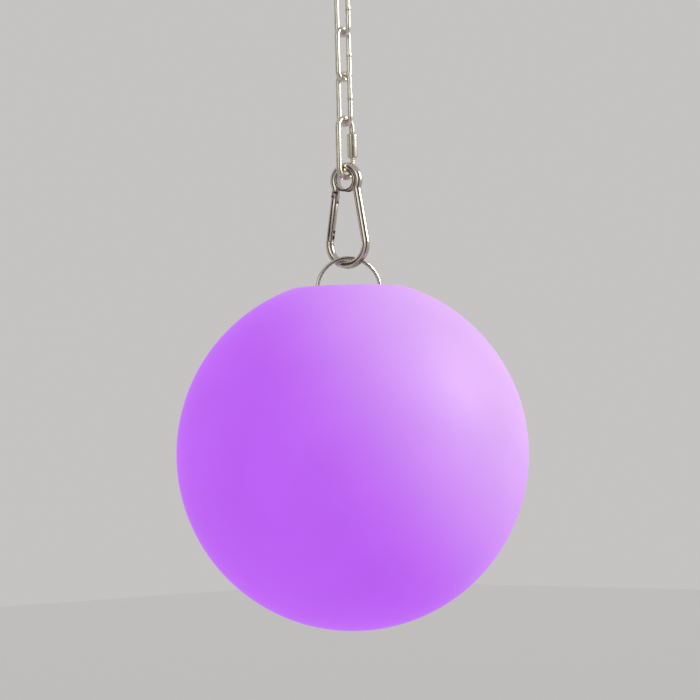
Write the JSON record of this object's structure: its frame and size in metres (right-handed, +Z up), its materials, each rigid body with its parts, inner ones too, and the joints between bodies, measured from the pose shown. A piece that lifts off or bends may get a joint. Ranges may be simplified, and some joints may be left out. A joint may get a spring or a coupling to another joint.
{
  "type": "hanging garden globe light",
  "caption": "Round lit globe on a wire bail, hung by a snap hook, a quick link and a short chain from a screwed ceiling plate; battery, control board and lamp board sealed inside.",
  "frame": {"origin": "middle of the ceiling plate's upper face", "axes": "+Z up, along the hanging line; chain links 1 and 3 lie in the XZ plane, chain link 2 and the quick link in the YZ plane, and the snap hook in the XZ plane turned 15 degrees about Z"},
  "size_m": [0.2, 0.2, 0.3899],
  "materials": {
    "zinc_plate": "bright zinc plating on pressed steel, faint brushing",
    "chain_zinc": "bright zinc plating on drawn wire, slightly uneven",
    "zinc_link": "zinc plating with a warm tint, flats slightly rubbed",
    "polished_steel": "polished stainless steel, mirror-like with fine scratches",
    "spring_steel": "drawn spring wire",
    "stainless_wire": "drawn stainless wire, smooth",
    "lit_globe": "satin translucent polyethylene, lit violet from inside",
    "silicone_seal": "silicone rubber, matt",
    "base_white": "fine spark-eroded moulding, white",
    "screw_steel": "stainless, machined",
    "button_silicone": "pale grey silicone rubber",
    "black_moulding": "black moulding, matt",
    "port_steel": "drawn steel jacket",
    "clear_plastic": "clear polycarbonate, polished",
    "circuit_board": "solder mask, green",
    "cell_wrap": "shrink sleeve, plain blue",
    "lead_red": "insulated lead, red",
    "lead_white": "jacketed lead, white",
    "lamp_board": "white solder mask on aluminium",
    "lamp_chips": "lamp packages, pale yellow"
  },
  "bodies": {
    "ceiling_fitting": {"ceiling_plate": "zinc_plate", "ceiling_hook": "zinc_plate"},
    "link_1": {"chain_link_1": "chain_zinc"},
    "link_2": {"chain_link_2": "chain_zinc"},
    "link_3": {"chain_link_3": "chain_zinc"},
    "quick_link": {"quick_link_body": "zinc_link"},
    "link_sleeve": {"quick_link_sleeve": "zinc_link"},
    "snap_hook": {"snap_hook_body": "polished_steel", "snap_hook_thimble": "polished_steel", "gate_hinge_rivet": "polished_steel"},
    "hook_gate": {"snap_hook_gate": "polished_steel", "gate_latch_pin": "polished_steel", "gate_spring": "spring_steel"},
    "plunger": {"gate_plunger": "polished_steel"},
    "hanging_bail": {"bail": "stainless_wire"},
    "button": {"power_button": "button_silicone", "switch_plunger": "black_moulding"},
    "bung": {"port_plug": "button_silicone"},
    "globe": {"globe_shell": "lit_globe", "base_gasket": "silicone_seal", "base_plate": "base_white", "rim_screws": "screw_steel", "switch_body": "black_moulding", "charge_port": "port_steel", "light_pipe": "clear_plastic", "control_board": "circuit_board", "board_screws": "screw_steel", "board_parts": "black_moulding", "lead_sockets": "base_white", "light_housing": "base_white", "housing_o_ring": "silicone_seal", "battery_cell": "cell_wrap", "battery_cradle": "black_moulding", "battery_strap": "screw_steel", "battery_leads": "lead_red", "led_leads": "lead_white", "led_board": "lamp_board", "led_board_screws": "screw_steel", "led_chips": "lamp_chips", "led_lens": "clear_plastic"}
  },
  "joints": [
    {"name": "link_1_swing", "type": "hinge", "parent": "ceiling_fitting", "child": "link_1", "pos_m": [0, 0, -0.025], "axis": [0, 1, 0], "range_deg": [-25, 25]},
    {"name": "link_2_swing", "type": "hinge", "parent": "link_1", "child": "link_2", "pos_m": [0, 0, -0.0502], "axis": [1, 0, 0], "range_deg": [-25, 25]},
    {"name": "link_3_swing", "type": "hinge", "parent": "link_2", "child": "link_3", "pos_m": [0, 0, -0.0759], "axis": [0, 1, 0], "range_deg": [-25, 25]},
    {"name": "quick_link_swing", "type": "hinge", "parent": "link_3", "child": "quick_link", "pos_m": [0, 0, -0.1016], "axis": [1, 0, 0], "range_deg": [-25, 25]},
    {"name": "sleeve_travel", "type": "slide", "parent": "quick_link", "child": "link_sleeve", "axis": [0, 0, -1], "range_m": [0, 0.004]},
    {"name": "hook_swing", "type": "hinge", "parent": "quick_link", "child": "snap_hook", "pos_m": [0, 0, -0.13215], "axis": [-0.2588, 0.9659, 0], "range_deg": [-25, 25]},
    {"name": "gate_open", "type": "hinge", "parent": "snap_hook", "child": "hook_gate", "pos_m": [-0.00718, -0.00192, -0.14256], "axis": [0.2588, -0.9659, 0], "range_deg": [0, 24], "stiffness_Nm_per_rad": 0.01, "springref_deg": -22.92},
    {"name": "plunger_travel", "type": "slide", "parent": "hook_gate", "child": "plunger", "axis": [-0.1568, -0.042, -0.9867], "range_m": [0, 0.0009], "stiffness_N_per_m": 0.25, "springref_m": -0.01, "deforming": ["gate_spring"]},
    {"name": "bail_swing", "type": "hinge", "parent": "snap_hook", "child": "hanging_bail", "pos_m": [0, 0, -0.1819], "axis": [0.9659, 0.2588, 0], "range_deg": [-15, 15]},
    {"name": "globe_tilt", "type": "hinge", "parent": "hanging_bail", "child": "globe", "pos_m": [0, 0, -0.1983], "axis": [0.5736, 0.8192, 0], "range_deg": [-40, 40]},
    {"name": "button_press", "type": "slide", "parent": "globe", "child": "button", "axis": [0, 0, -1], "range_m": [0, 0.0004], "stiffness_N_per_m": 1500},
    {"name": "bung_pull", "type": "slide", "parent": "globe", "child": "bung", "axis": [0, 0, 1], "range_m": [0, 0.009]}
  ],
  "couplings": [
    {"joint": "plunger_travel", "follows": "gate_open", "m_per_rad": 0.001556}
  ]
}
